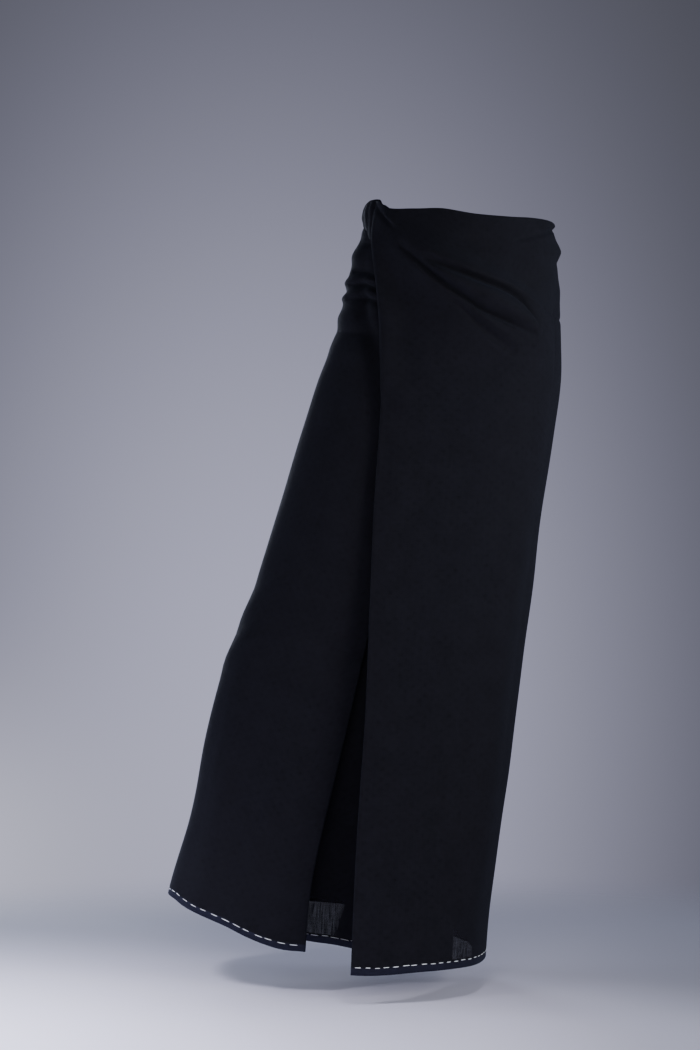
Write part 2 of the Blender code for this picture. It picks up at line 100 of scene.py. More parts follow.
# ridges and grooves on the outer cloth: each row has a path of (angle, z) points, a height, below 0 for a
# groove, and the widths of its slopes above and below, or right and left of it where it hangs down
outerCloth = {
    "flapColumns": 138, "backColumns": 56, "wrapColumns": 46,
    "fineRows": 118, "coarseRows": 70, "finePart": 0.215,
    "folds": (
        # the puffed edge of the flap below the tuck, and the swell of the front beside it
        (((207, -0.002), (214, -0.032), (221, -0.059), (227, -0.091), (232, -0.1225), (236, -0.1535),
          (240, -0.19), (249, -0.262)), 0.01, 0.0165, 0.009),
        (((206, 0.0), (240, -0.05), (262, -0.088), (283, -0.127), (309, -0.16), (335, -0.17)),
         0.0225, 0.034, 0.042),
        (((268, 0.08), (270, -0.06), (274, -0.16), (280, -0.3)), 0.01, 0.08, 0.045),
        # drag folds from the tuck: grooves, each with the ridge over it
        (((238, -0.054), (244, -0.065), (253, -0.083), (261, -0.1005), (268, -0.116), (274, -0.1315),
          (280, -0.1453), (291, -0.159), (305, -0.1733), (311, -0.181)), -0.0095, 0.0058, 0.0032),
        (((262, -0.093), (270, -0.1088), (276, -0.1181), (283, -0.1272), (291, -0.1389), (298, -0.1506),
          (309, -0.165), (314, -0.172)), 0.004, 0.007, 0.008),
        (((254, -0.074), (262, -0.085), (269, -0.095), (275, -0.1035), (282, -0.111), (290, -0.1183),
          (301, -0.1331), (308, -0.153), (311, -0.162)), -0.0102, 0.0056, 0.0034),
        (((252, -0.06), (270, -0.085), (283, -0.101), (302, -0.12), (318, -0.146)), 0.0052, 0.012, 0.0056),
        (((264, -0.118), (268, -0.128), (275, -0.151), (282, -0.169), (291, -0.187), (300, -0.201)),
         -0.0044, 0.0062, 0.0044),
        (((270, -0.136), (276, -0.1456), (284, -0.1608), (295, -0.1815), (304, -0.1961)),
         0.003, 0.005, 0.006),
        (((292, -0.104), (298, -0.1066), (304, -0.1085), (314, -0.115)), -0.0018, 0.004, 0.003),
        # the pinch where the flap's corner is pulled over to the tuck
        (((205, 0.01), (214, -0.004), (224, -0.018), (234, -0.034)), -0.003, 0.0034, 0.003),
        (((208, 0.018), (218, 0.004), (226, -0.01), (236, -0.022)), 0.0016, 0.0036, 0.004),
        (((222, -0.0115), (227, -0.0165), (231, -0.024), (234, -0.03)), 0.0036, 0.002, 0.0022),
        # the bunch of cloth at the wearer's left side of the waist
        (((300, -0.05), (315, -0.043), (330, -0.0353), (345, -0.0297), (372, -0.022)),
         -0.0052, 0.0034, 0.0028),
        (((322, -0.026), (345, -0.023), (384, -0.018)), 0.0034, 0.006, 0.005),
        (((326, -0.06), (346, -0.057), (364, -0.055), (402, -0.05)), 0.0076, 0.015, 0.0105),
        (((334, -0.076), (352, -0.0725), (398, -0.069)), -0.0012, 0.004, 0.005),
        (((308, -0.139), (324, -0.1441), (337, -0.1468), (352, -0.15), (372, -0.154)),
         -0.002, 0.0036, 0.0032),
        (((346, -0.105), (372, -0.118), (420, -0.155)), 0.0026, 0.013, 0.014),
        (((362, -0.084), (392, -0.094), (430, -0.114)), -0.0024, 0.007, 0.008),
        # gathers at the wearer's right hip, under the tuck
        (((524, -0.028), (550, -0.029), (576, -0.033)), 0.0024, 0.008, 0.008),
        (((545, -0.045), (554, -0.0474), (564, -0.0506), (571, -0.0536), (592, -0.062)),
         -0.0046, 0.0036, 0.0032),
        (((508, -0.052), (540, -0.06), (578, -0.074)), 0.0052, 0.015, 0.012),
        (((551, -0.085), (563, -0.0883), (572, -0.0913), (578, -0.0942), (596, -0.101)),
         -0.0076, 0.0036, 0.0028),
        (((504, -0.078), (532, -0.083), (556, -0.088)), 0.0014, 0.008, 0.006),
        (((506, -0.096), (542, -0.0985), (575, -0.1), (592, -0.106)), 0.0056, 0.0075, 0.007),
        (((552, -0.103), (566, -0.1052), (575, -0.1078), (583, -0.1137), (598, -0.12)),
         -0.007, 0.0034, 0.003),
        (((510, -0.111), (536, -0.1125), (552, -0.112)), -0.002, 0.0036, 0.0036),
        (((510, -0.12), (540, -0.12), (575, -0.1172), (592, -0.123)), 0.0044, 0.007, 0.006),
        (((553, -0.122), (574, -0.1252), (582, -0.129), (586, -0.1321), (600, -0.14)),
         -0.0062, 0.0046, 0.0044),
        (((502, -0.144), (544, -0.147), (594, -0.158)), 0.0036, 0.011, 0.012),
        (((538, -0.164), (558, -0.169), (582, -0.174), (600, -0.179)), -0.0022, 0.006, 0.005),
        (((508, -0.178), (560, -0.19), (602, -0.21)), 0.0026, 0.016, 0.016),
        (((558, -0.02), (566, -0.07), (574, -0.13), (584, -0.19)), -0.0016, 0.011, 0.011),
        (((564, -0.09), (577, -0.145), (587, -0.18), (599, -0.225), (606, -0.28)), -0.007, 0.014, 0.013),
        # slack across the back of the hips and thighs
        (((398, -0.228), (450, -0.276), (502, -0.248)), -0.0052, 0.026, 0.03),
        (((392, -0.18), (430, -0.216), (472, -0.21)), 0.0024, 0.011, 0.013),
        (((424, -0.3), (468, -0.292), (514, -0.262)), 0.0026, 0.015, 0.015),
        (((440, -0.052), (470, -0.07), (508, -0.076)), -0.0018, 0.006, 0.006),
        (((446, -0.118), (480, -0.132), (516, -0.126)), 0.0018, 0.008, 0.008),
        (((404, -0.35), (452, -0.372), (492, -0.34)), -0.0018, 0.016, 0.018),
        # hanging folds of the back, down to the hem
        (((412, -0.46), (406, -0.76), (400, -1.08)), 0.0084, 0.024, 0.024),
        (((458, -0.4), (452, -0.7), (446, -1.08)), 0.0098, 0.027, 0.027),
        (((434, -0.54), (428, -0.8), (424, -1.08)), -0.0042, 0.019, 0.019),
        (((500, -0.5), (500, -0.76), (504, -1.06)), 0.0078, 0.023, 0.023),
        (((480, -0.62), (478, -0.84), (474, -1.06)), -0.0038, 0.018, 0.018),
        (((386, -0.56), (380, -0.82), (376, -1.08)), 0.0036, 0.016, 0.016),
        # pulls from the wearer's right knee, and the fall of the cloth below it
        (((528, -0.648), (548, -0.612), (572, -0.588), (592, -0.574)), 0.002, 0.013, 0.013),
        (((530, -0.596), (550, -0.574), (572, -0.547), (594, -0.518)), -0.0018, 0.011, 0.011),
        (((532, -0.564), (556, -0.54), (590, -0.49)), 0.0016, 0.012, 0.012),
        (((530, -0.526), (556, -0.508), (576, -0.4995), (588, -0.478)), -0.0014, 0.011, 0.011),
        (((570, -0.56), (578, -0.8), (586, -1.04)), 0.0052, 0.024, 0.024),
        (((604, -0.64), (605, -0.84), (606, -1.06)), 0.0028, 0.015, 0.015),
        # long soft falls down the flap
        (((325, -0.4), (328, -0.76), (330, -1.12)), 0.0042, 0.026, 0.026),
        (((296, -0.3), (294, -0.7), (292, -1.1)), 0.0018, 0.028, 0.028),
        (((260, -0.25), (272, -0.62), (282, -1.0)), 0.0018, 0.011, 0.011),
        (((342, -0.24), (340, -0.52), (338, -0.82)), -0.0014, 0.016, 0.016),
        (((364, -0.1), (362, -0.52), (360, -1.12)), 0.0024, 0.03, 0.04),
    ),
    "foldRadius": 0.14,     # turns an angle into a length along the cloth
    "foldShape": 1.8, "foldEnds": 0.6,          # powers of a fold's bell, and of its fading at both ends
    "valleyDepth": 0.011, "valleyWidth": 0.013, "valleyShape": 1.6, "valleyShift": 1.0,
    "bareFrom": 5.0, "bareOver": 7.0,           # under the flap the right fold's own folds fade out
    # how far a groove of the flap may sink towards its return, how much more past the inner fold, and how
    # softly it stops
    "grooveFloor": 0.001, "deeperBy": 0.005, "deeperFrom": 322.0, "deeperOver": 24.0,
    "floorSoft": 0.0016, "floorShift": 0.0004,
    "waver": 0.0005,        # the cloth is nowhere quite smooth
}


def smoothCurve(xs, ys):
    # a cubic between each two rows, with the slope at a row taken from the rows beside it
    xs, ys = np.asarray(xs, float), np.asarray(ys, float)
    if xs[0] > xs[-1]:
        xs, ys = xs[::-1], ys[::-1]
    before, after = np.r_[0, np.arange(len(xs) - 1)], np.r_[np.arange(1, len(xs)), len(xs) - 1]
    slopes = (ys[after] - ys[before]) / (xs[after] - xs[before])

    def value(x):
        x = np.clip(x, xs[0], xs[-1])
        i = np.clip(np.searchsorted(xs, x, side="right") - 1, 0, len(xs) - 2)
        step = xs[i + 1] - xs[i]
        s = (x - xs[i]) / step
        return ((2 * s**3 - 3 * s**2 + 1) * ys[i] + (s**3 - 2 * s**2 + s) * step * slopes[i]
                + (3 * s**2 - 2 * s**3) * ys[i + 1] + (s**3 - s**2) * step * slopes[i + 1])
    return value


bodyAt = {name: smoothCurve(body["z"], values) for name, values in body.items() if name != "z"}
edgeAt = {name: smoothCurve(edges["z"], values) for name, values in edges.items() if name != "z"}
rimAt = {name: smoothCurve(*rows) for name, rows in rims.items()}


def smoothStep(x):
    x = np.clip(x, 0.0, 1.0)
    return x * x * (3.0 - 2.0 * x)


def signedPower(value, power):
    return np.sign(value) * np.abs(value) ** power


def ringPoint(angle, z, front, inset=0.0):
    # a superellipse at height z, drawn smaller by inset; front names the depth of its front half
    left, right = bodyAt["left"](z), bodyAt["right"](z)
    power = 2.0 / bodyAt["square"](z)
    turn = np.radians(angle)
    reach = np.where(np.sin(turn) > 0, bodyAt["back"](z), bodyAt[front](z))
    x = (left + right) / 2 + ((right - left) / 2 - inset) * signedPower(np.cos(turn), power)
    y = (reach - inset) * signedPower(np.sin(turn), power)
    return np.stack([x, y], -1)


def edgeAngle(name, z):
    # the angle at which a folded edge's X lies on the front half of the section
    left, right = bodyAt["left"](z), bodyAt["right"](z)
    share = np.clip((edgeAt[name](z) - (left + right) / 2) / ((right - left) / 2), -1.0, 1.0)
    return 360.0 - np.degrees(np.arccos(signedPower(share, bodyAt["square"](z) / 2)))


def foldRelief(folds, angle, z):
    # each fold adds a bell across its path, faded out at both ends; the path is a curve of height over
    # angle where it runs round the body, and of angle over height where it hangs down
    total = np.zeros(np.broadcast(angle, z).shape)
    radius = outerCloth["foldRadius"]
    for path, height, above, below in folds:
        angles, heights = np.transpose(path)
        along, fall = np.radians(np.ptp(angles)) * radius, np.ptp(heights)
        if along > fall:
            run = (angle - angles[0]) / (angles[-1] - angles[0])
            side = (z - smoothCurve(angles, heights)(angle)) * along
        else:
            run = (z - heights[0]) / (heights[-1] - heights[0])
            side = np.radians(angle - smoothCurve(heights, angles)(z)) * radius * fall
        side = side / np.hypot(along, fall)
        bell = np.exp(-np.abs(side / np.where(side > 0, above, below)) ** outerCloth["foldShape"])
        total = total + height * np.sin(np.pi * np.clip(run, 0.0, 1.0)) ** outerCloth["foldEnds"] * bell
    return total


def waver(angle, z):
    # slow sums of sines that don't line up, so that no stretch of cloth is quite smooth
    a = np.radians(angle)
    return (np.sin(5.3 * a + 9.1 * z + 1.3) * np.sin(23.0 * z - 2.1 * a)
            + 0.6 * np.sin(9.7 * a - 31.0 * z + 0.7) + 0.5 * np.sin(3.1 * a + 47.0 * z))


def wrapInset(angle, z):
    # the right fold is outermost at the side, sinks under the flap and its return, and dips in a narrow
    # valley beside the flap's folded edge
    w = outerCloth
    over = edgeAngle("leftFold", z) + 360.0
    across = np.radians(angle - over - w["valleyShift"]) * w["foldRadius"]
    valley = w["valleyDepth"] * np.exp(-np.abs(across / w["valleyWidth"]) ** w["valleyShape"])
    return 2 * cloth["pitch"] * smoothStep((angle - rightSide) / (over - rightSide)) + valley


def outerRelief(angle, z):
    # how far the outer cloth stands out from the ring: the flap and the back, and past them the right fold
    w = outerCloth
    relief = foldRelief(w["folds"], angle, z)
    over = edgeAngle("leftFold", z)
    bare = 1.0 - smoothStep((angle - 360.0 - over + w["bareFrom"]) / w["bareOver"])
    # the flap's grooves stop softly above its return, and go deeper past the inner fold
    floor = -w["grooveFloor"] - w["deeperBy"] * smoothStep((angle - w["deeperFrom"]) / w["deeperOver"])
    held = floor + 0.5 * (relief - floor + np.hypot(relief - floor, w["floorSoft"])) - w["floorShift"]
    relief = np.where(angle > rightSide, relief * bare - wrapInset(angle, z), held)
    return relief + w["waver"] * waver(angle, z) * np.where(angle > rightSide, bare, 1.0)


def outerAt(angle, z):
    relief = outerRelief(angle, z)
    flapSide = ringPoint(angle, z, "flap", -relief)
    wrapSide = ringPoint(angle, z, "wrap", -relief)
    return np.where((angle > backMiddle)[..., None], wrapSide, flapSide)


def wrapAt(angle, z):
    return outerAt(angle + 360.0, z)


innerCloth = {
    "wrapReturnColumns": 22, "underColumns": 56, "flapReturnColumns": 40,
    "fineRows": 36, "coarseRows": 70, "finePart": 0.25,
    "pastFrom": 3.0, "pastOver": 15.0,      # degrees past the right fold's edge, where two layers become one
    "returnFrom": 6.0,      # the flap's return starts to sink this far past the same edge, or later
    "liftOver": 12.0,       # and follows the flap's ridges over this stretch
    "edgeGap": 0.3,         # a return begins this far beside its folded edge
}


def underAt(angle, z):
    # two layers inside the right fold, and past its edge one layer inside the flap's return
    past = smoothStep((angle - edgeAngle("rightFold", z) - innerCloth["pastFrom"]) / innerCloth["pastOver"])
    inset = (1 - past) * (wrapInset(angle + 360.0, z) + 2 * cloth["pitch"]) + past * 2 * cloth["pitch"]
    return ringPoint(angle, z, "under", inset)


def outward(surface, angle, z):
    # the direction out of the cloth, and along it with rising angle, from two points beside this one
    step = 0.5      # degrees
    a, b = surface(angle - step, z), surface(angle + step, z)
    along = (b - a) / np.linalg.norm(b - a, axis=-1, keepdims=True)
    return np.stack([along[..., 1], -along[..., 0]], -1), along


def moved(surface, angle, z, distance):
    return surface(angle, z) + outward(surface, angle, z)[0] * distance


def flapReturnAt(angle, z):
    # under the flap at its folded edge, on the cloth against the legs at the inner fold
    edge = edgeAngle("leftFold", z)
    start = np.maximum(edge, edgeAngle("rightFold", z) + innerCloth["returnFrom"])
    share = smoothStep((angle - start) / (edgeAngle("leftInner", z) - start))[..., None]
    lifted = 1.0 - smoothStep((angle - edge) / innerCloth["liftOver"])
    relief = np.maximum(foldRelief(outerCloth["folds"], angle, z), 0.0)
    below = ringPoint(angle, z, "flap", cloth["pitch"] - lifted * relief)
    return below * (1 - share) + moved(underAt, angle, z, cloth["pitch"]) * share


def wrapReturnAt(angle, z):
    # under the right fold at its folded edge, on the cloth against the legs at the inner fold
    start, stop = edgeAngle("rightFold", z), edgeAngle("rightInner", z)
    share = smoothStep((start - angle) / (start - stop))[..., None]
    below = moved(wrapAt, angle, z, -cloth["pitch"])
    return below * (1 - share) + moved(underAt, angle, z, cloth["pitch"]) * share


def foldedEdge(surface, angle, z, direction, side):
    # the half round that leads from one layer to the next, out (side 1) or in (side -1)
    out, along = outward(surface, angle, z)
    turn = (np.pi * np.arange(1, cloth["turnSteps"] + 1) / cloth["turnSteps"])[:, None]
    radius = cloth["pitch"] / 2
    lift, reach = side * radius * (1 - np.cos(turn)), direction * radius * np.sin(turn)
    start = surface(angle, z)
    return start[:, None] + out[:, None] * lift + along[:, None] * reach


def rowShares(sheet):
    # rows from the waist to the hem, close together where the gathers are
    part = sheet["finePart"]
    fine = np.linspace(0.0, part, sheet["fineRows"], endpoint=False)
    return np.r_[fine, np.linspace(part, 1.0, sheet["coarseRows"] + 1)]


def stretchGrid(surface, anglesAt, columns, hem, shares, drop=0.0):
    # one stretch of cloth: anglesAt gives its first and last angle at a height, and each point's height
    # is its share of the way from the waist edge to the hem at its own angle
    c, share = np.meshgrid(np.linspace(0.0, 1.0, columns + 1), shares)
    z = np.full(c.shape, -0.5)      # a first guess
    for _ in range(cloth["passes"]):
        first, last = anglesAt(z)
        angle = first + (last - first) * c
        lowered = cloth["wrapDrop"] * smoothStep((angle - cloth["wrapDropFrom"]) / cloth["wrapDropOver"])
        top = rimAt["waist"](angle % 360.0) - drop - lowered
        bottom = rimAt[hem](angle % 360.0)
        z = top + (bottom - top) * share
    return angle, z, surface(angle, z)


def withTurn(surface, xy, angle, z, direction, side):
    # adds the half round of a folded edge to the start of a stretch (direction -1) or to its end (1)
    column = 0 if direction < 0 else -1
    turned = foldedEdge(surface, angle[:, column], z[:, column], direction, side)
    zTurned = np.repeat(z[:, column, None], turned.shape[1], 1)
    if direction < 0:
        return np.concatenate([turned[:, ::-1], xy], 1), np.concatenate([zTurned, z], 1)
    return np.concatenate([xy, turned], 1), np.concatenate([z, zTurned], 1)


def placed(name, data):
    made = bpy.data.objects.new(name, data)
    bpy.context.scene.collection.objects.link(made)
    return made


def gridMesh(name, points, uv, thin=None):
    # a grid of points as a smooth sheet with a wall; uv is in metres along the cloth; the thin part takes
    # slot 0 outside and, by the wall's offset, slot 1 inside, and the rest takes slot 2, the last
    rows, columns = points.shape[:2]
    mesh = bpy.data.meshes.new(name)
    index = np.arange(rows * columns).reshape(rows, columns)
    quads = np.stack([index[:-1, :-1], index[1:, :-1], index[1:, 1:], index[:-1, 1:]], -1).reshape(-1, 4)
    mesh.vertices.add(rows * columns)
    mesh.vertices.foreach_set("co", points.reshape(-1).astype(np.float32))
    mesh.loops.add(quads.size)
    mesh.loops.foreach_set("vertex_index", quads.reshape(-1).astype(np.int32))
    mesh.polygons.add(len(quads))
    mesh.polygons.foreach_set("loop_start", np.arange(0, quads.size, 4, dtype=np.int32))
    if thin:
        first, last, bottom, top = thin
        under = uv[1:, 1:, 1]
        low = (under > bottom) & (under < top) & (uv[1:, :-1, 1] < top)
        between = np.arange(columns - 1)
        low &= (between >= first) & (between < last)
        mesh.polygons.foreach_set("material_index", np.where(low, 0, 2).reshape(-1).astype(np.int32))
    layer = mesh.uv_layers.new(name="cloth")
    layer.data.foreach_set("uv", uv.reshape(-1, 2)[quads.reshape(-1)].reshape(-1).astype(np.float32))
    mesh.update(calc_edges=True)
    mesh.shade_smooth()
    piece = placed(name, mesh)
    wall = piece.modifiers.new("wall", "SOLIDIFY")
    wall.thickness = cloth["wall"]
    wall.offset = 0.0
    wall.material_offset = 1
    return piece


def clothUv(points, startColumn=0):
    # u is the length along the row from a column, v the height above the hem along the cloth
    steps = np.linalg.norm(np.diff(points, axis=1), axis=-1)
    u = np.concatenate([np.zeros((len(points), 1)), np.cumsum(steps, 1)], 1)
    drops = np.linalg.norm(np.diff(points, axis=0), axis=-1)
    v = np.concatenate([np.cumsum(drops[::-1], 0)[::-1], np.zeros((1, points.shape[1]))], 0)
    return np.stack([u - u[:, startColumn:startColumn + 1], v], -1)


def thinPart(points, first, last, part):
    # the columns from first to last whose hem lies between two X, and the two heights
    return (*(first + np.searchsorted(points[-1, first:last, 0], part[:2])), *part[2:])


def stack3(xy, z):
    return np.concatenate([xy, z[..., None]], -1)


def buildOuterCloth():
    # one sheet: from behind the flap's edge, over the flap, round the back, to behind the right fold's edge
    shares = rowShares(outerCloth)
    stretches = (
        ("flapColumns", lambda z: (edgeAngle("leftFold", z), leftSide)),
        ("backColumns", lambda z: (leftSide, rightSide)),
        ("wrapColumns", lambda z: (rightSide, edgeAngle("rightFold", z) + 360.0)),
    )
    parts = [stretchGrid(outerAt, span, outerCloth[count], "outerHem", shares) for count, span in stretches]
    # joined without the column that two stretches share
    angle, z, xy = (np.concatenate([part[item][:, 1 if k else 0:] for k, part in enumerate(parts)], 1)
                    for item in range(3))
    for direction in (-1, 1):
        xy, z = withTurn(outerAt, xy, angle, z, direction, -1)
    points = stack3(xy, z)
    start = cloth["turnSteps"]
    thin = thinPart(points, start, start + outerCloth["flapColumns"], cloth["thinFlap"])
    return gridMesh("outerCloth", points, clothUv(points, start), thin)


def buildInnerCloth():
    # one sheet: the right fold's return, the cloth against the legs, and the flap's return
    shares = rowShares(innerCloth)
    drop, gap = cloth["hiddenDrop"], innerCloth["edgeGap"]
    _, z1, xy1 = stretchGrid(
        wrapReturnAt, lambda z: (edgeAngle("rightFold", z) - gap, edgeAngle("rightInner", z)),
        innerCloth["wrapReturnColumns"], "wrapReturnHem", shares, drop)
    angle2, z2, xy2 = stretchGrid(
        underAt, lambda z: (edgeAngle("rightInner", z), edgeAngle("leftInner", z)),
        innerCloth["underColumns"], "underHem", shares, drop)
    _, z3, xy3 = stretchGrid(
        flapReturnAt, lambda z: (edgeAngle("leftInner", z), edgeAngle("leftFold", z) + gap),
        innerCloth["flapReturnColumns"], "flapReturnHem", shares, drop)
    for direction in (-1, 1):
        xy2, z2 = withTurn(underAt, xy2, angle2, z2, direction, 1)
    xy = np.concatenate([xy1[:, :-1], xy2, xy3[:, 1:]], 1)
    z = np.concatenate([z1[:, :-1], z2, z3[:, 1:]], 1)
    points = stack3(xy, z)
    start = innerCloth["wrapReturnColumns"] + cloth["turnSteps"]
    thin = thinPart(points, start, start + innerCloth["underColumns"], cloth["thinUnder"])
    return gridMesh("innerCloth", points, clothUv(points), thin)


def alongHem(hem, anglesAt, c, rise):
    # angle and height of points that rise above a hem, each at its share c of the way between two angles
    z = np.full(c.shape, -1.0)      # a first guess
    for _ in range(cloth["passes"]):
        first, last = anglesAt(z)
        angle = first + (last - first) * c
        z = rimAt[hem](angle % 360.0) + rise
    return angle, z


# the hem, turned up inside each stretch and stopped a few degrees short of the folded edges
hemTurns = {
    # node, surface, hem, columns, first and last angle
    "hemTurnLeftFold": ("hem_turn_left_fold", outerAt, "outerHem", 70,
                        lambda z: (edgeAngle("leftFold", z) + 8.0, leftSide)),
    "hemTurnBack": ("hem_turn_back", outerAt, "outerHem", 80, lambda z: (leftSide, rightSide)),
    "hemTurnRightFold": ("hem_turn_right_fold", outerAt, "outerHem", 50,
                         lambda z: (rightSide, edgeAngle("rightFold", z) + 353.5)),
    "hemTurnUnder": ("hem_turn_under", underAt, "underHem", 40,
                     lambda z: (edgeAngle("rightInner", z) + 6.0, edgeAngle("leftInner", z) - 6.0)),
}


def buildHemTurn(name, solid, surface, hem, columns, anglesAt):
    # the panel's own points near its hem, moved in, on a few rows from the turn's top to the hem
    rows = 4
    c, rise = np.meshgrid(np.linspace(0, 1, columns + 1), np.linspace(cloth["hemTurn"], 0, rows + 1))
    angle, z = alongHem(hem, anglesAt, c, rise)
    points = stack3(moved(surface, angle, z, -cloth["hemInset"]), z)
    piece = gridMesh(name, points, clothUv(points))
    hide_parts(solid)
    return piece


outer = buildOuterCloth()
inner = buildInnerCloth()
hems = [buildHemTurn(name, *turn) for name, turn in hemTurns.items()]
print("cloth built")

# running stitches that hold the hem, on the outside of each stretch
stitching = {
    "litBandTop": 0.0096,      # the doubled hem's band, painted lighter as painted light from the floor below, ends here
    "height": 0.0006,
    "uneven": 0.18,
    "drift": 0.0005,        # up and down, off the line
    "firstAt": 0.55,        # the first stitch's middle, in pitches
    "sides": 6, "rings": 7, "linePoints": 1600,
    "seed": 7,
    "rows": (
        # surface, hem, first and last angle, rise above the hem, pitch, length, width
        (outerAt, "outerHem", lambda z: (edgeAngle("leftFold", z), leftSide),
         0.01, 0.0128, 0.0084, 0.00105),
        (outerAt, "outerHem", lambda z: (leftSide, edgeAngle("rightFold", z) + 360.0),
         0.0084, 0.0164, 0.011, 0.00105),
        (underAt, "underHem", lambda z: (edgeAngle("rightInner", z), edgeAngle("leftInner", z)),
         0.01, 0.0134, 0.0112, 0.0006),
    ),
}


def hemLine(surface, hem, anglesAt, rise):
    # a dense line along a stretch at the stitches' height, and the directions out of the cloth there
    angle, z = alongHem(hem, anglesAt, np.linspace(0.0, 1.0, stitching["linePoints"]), rise)
    normal = outward(surface, angle, z)[0]
    return stack3(surface(angle, z) + normal * cloth["wall"] / 2, z), stack3(normal, z * 0)


def buildStitches():
    # each stitch is a flat bead: rings of half width sqrt(1 - s^4) between two end points, half sunk
    random = np.random.default_rng(stitching["seed"])
    sides, rings = stitching["sides"], stitching["rings"]
    s = np.linspace(-1, 1, rings + 2)
    swell = np.sqrt(1 - s[1:-1] ** 4)
    turn = 2 * np.pi * np.arange(sides) / sides
    # a bead's points: the first end, its rings, the last end
    cell = 1 + np.arange(rings - 1)[:, None] * sides + np.arange(sides)
    across = 1 + np.arange(rings - 1)[:, None] * sides + (np.arange(sides) + 1) % sides
    quads = np.stack([cell, across, across + sides, cell + sides], -1).reshape(-1, 4)
    start, after = 1 + np.arange(sides), 1 + (np.arange(sides) + 1) % sides
    final = 1 + rings * sides
    ends = np.concatenate([np.stack([after, start, start * 0], -1),
                           np.stack([start, after, start * 0 + final - (rings - 1) * sides], -1)
                           + (rings - 1) * sides])
    points, faces = [], []
    made = 0
    for *place, pitch, length, width in stitching["rows"]:
        line, normal = hemLine(*place)
        reach = np.r_[0.0, np.cumsum(np.linalg.norm(np.diff(line, axis=0), axis=-1))]
        count = int(reach[-1] / pitch)
        jitter = random.uniform(-1, 1, (3, count))
        middles = (np.arange(count) + stitching["firstAt"] + 0.5 * stitching["uneven"] * jitter[0]) * pitch
        lengths = length * (1 + stitching["uneven"] * jitter[1])
        at = middles[:, None] + 0.5 * lengths[:, None] * s
        centre = np.stack([np.interp(at, reach, line[:, k]) for k in range(3)], -1)
        centre[..., 2] += (stitching["drift"] * jitter[2])[:, None]
        out = np.stack([np.interp(at, reach, normal[:, k]) for k in range(3)], -1)
        wide = (width / 2 * swell[:, None] * np.cos(turn))[..., None] * np.array([0.0, 0.0, 1.0])
        high = (stitching["height"] * swell[:, None] * np.sin(turn))[None, ..., None] * out[:, 1:-1, None]
        beads = (centre[:, 1:-1, None] + wide + high).reshape(count, -1, 3)
        points.append(np.concatenate([centre[:, :1], beads, centre[:, -1:]], 1).reshape(-1, 3))
        base = (made + np.arange(count) * (final + 1))[:, None, None]
        faces += (quads + base).reshape(-1, 4).tolist() + (ends + base).reshape(-1, 3).tolist()
        made += count * (final + 1)
    mesh = bpy.data.meshes.new("hemStitches")
    mesh.from_pydata(np.concatenate(points).tolist(), [], faces)
    mesh.shade_smooth()
    return placed("hemStitches", mesh)


stitches = buildStitches()
print("stitches sewn")

# the flap's corner, bunched and rolled over the waist edge at the right hip, with a tongue down the outside
waistTuck = {
    "fromAngle": 171.0,
    "edgeGap": 0.3,        # degrees left free beside the flap's folded edge
    "crown": ((171, 180, 190, 202, 210, 217), (-0.001, 0.01, 0.0124, 0.012, 0.01, 0.0085)),
    "lowerEdge": ((171, 182, 192, 200, 205, 210, 217), (-0.0135, -0.0205, -0.026, -0.0305, -0.0405,
                                                       -0.044, -0.042)),
    "middle": -0.0043, "halfWide": 0.0085, "tall": 0.0195, "inside": 0.022, "insideLean": 0.006,
    "leastFlank": 0.002, "endFullness": 0.55, "fullOver": 9.0,
    "tongueFrom": 190.0, "tongueOver": 12.0,
    # the flank settles towards the cloth on its way down, by a depth times a power of the way: each at the
    # roll's start, and what the tongue adds to it
    "settle": (0.004, -0.001), "settlePower": (1.3, 2.2),
    "standoff": 0.0013, "standoffSoft": 0.0008, "edgeDip": 0.0034, "dipFrom": 0.84,
    "pleats": 3, "pleatDepth": 0.0011, "pleatSpread": 1.5,
    "columns": 72, "bendRows": 14, "rows": 34,
    "weaveShift": 0.08,     # its place in the weave
}


